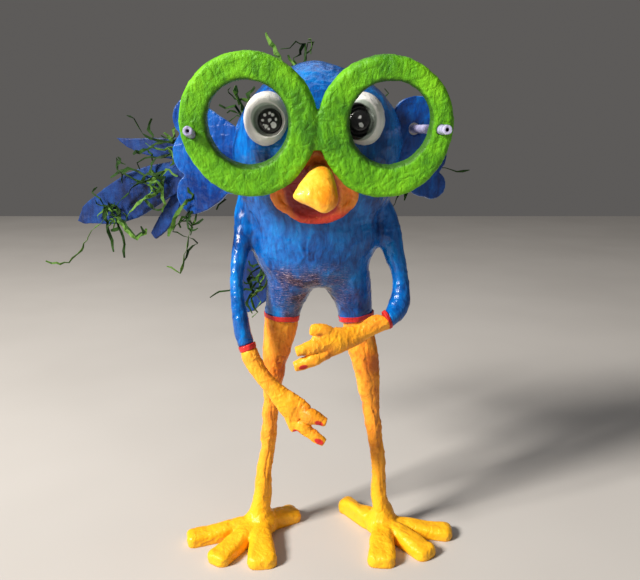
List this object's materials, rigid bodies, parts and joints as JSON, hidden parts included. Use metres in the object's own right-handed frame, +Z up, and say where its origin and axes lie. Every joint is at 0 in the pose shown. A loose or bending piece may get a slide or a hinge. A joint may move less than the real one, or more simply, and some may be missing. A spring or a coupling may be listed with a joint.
{
  "type": "papier-mache alebrije bird figure",
  "caption": "Standing papier-mache bird with long legs, crossed arms, scalloped ears, card tail feathers, paper-shred tufts and round spectacles that pull forward off the head.",
  "frame": {"origin": "centre of the bounding box in X and Y, at the level the soles stand on", "axes": "+Z up, -Y the way the bird faces, +X toward the bird's left side"},
  "size_m": [0.4347, 0.2219, 0.4958],
  "materials": {
    "blue_skin": "gloss",
    "newspaper_filling": "matte",
    "orange_skin": "satin",
    "yellow_skin": "satin",
    "wire": "satin",
    "red_paint": "satin",
    "beak_yellow": "gloss",
    "lip_orange": "satin",
    "mouth_maroon": "satin",
    "eye_white": "gloss",
    "pupil_black": "gloss",
    "blue_card": "gloss",
    "dark_blue_card": "satin",
    "green_shred": "matte",
    "lime_rims": "satin",
    "lavender_rod": "satin"
  },
  "bodies": {
    "bird": {"arm_wire_left": "wire", "arm_wire_right": "wire", "beak": "beak_yellow", "cuff_left": "red_paint", "cuff_right": "red_paint", "ear_left": "blue_card", "ear_right": "blue_card", "eye_left": "eye_white", "eye_right": "eye_white", "feather_hanging": "dark_blue_card", "feather_large": "dark_blue_card", "feather_lower": "dark_blue_card", "feather_upper": "dark_blue_card", "foot_left": "yellow_skin", "foot_right": "yellow_skin", "hand_left": "orange_skin", "hand_right": "orange_skin", "head_core": "newspaper_filling", "head_shell": "blue_skin", "hem_band_left": "red_paint", "hem_band_right": "red_paint", "leg_left": "orange_skin", "leg_right": "orange_skin", "leg_wire_left": "wire", "leg_wire_right": "wire", "lip": "lip_orange", "mouth": "mouth_maroon", "pupil_left": "pupil_black", "pupil_right": "pupil_black", "sleeve_left": "blue_skin", "sleeve_right": "blue_skin", "torso_core": "newspaper_filling", "torso_shell": "blue_skin", "tuft_crest": "green_shred", "tuft_hip": "green_shred", "tuft_left_ear": "green_shred", "tuft_nape": "green_shred", "tuft_right_ear": "green_shred", "tuft_tail_middle": "green_shred", "tuft_tail_tip": "green_shred", "tuft_tail_upper": "green_shred"},
    "glasses": {"glasses_frame": "lime_rims", "temple_rod_left": "lavender_rod", "temple_rod_right": "lavender_rod"}
  },
  "joints": [
    {"name": "glasses_slide", "type": "slide", "parent": "bird", "child": "glasses", "axis": [0, -1, 0], "range_m": [0, 0.09]}
  ]
}
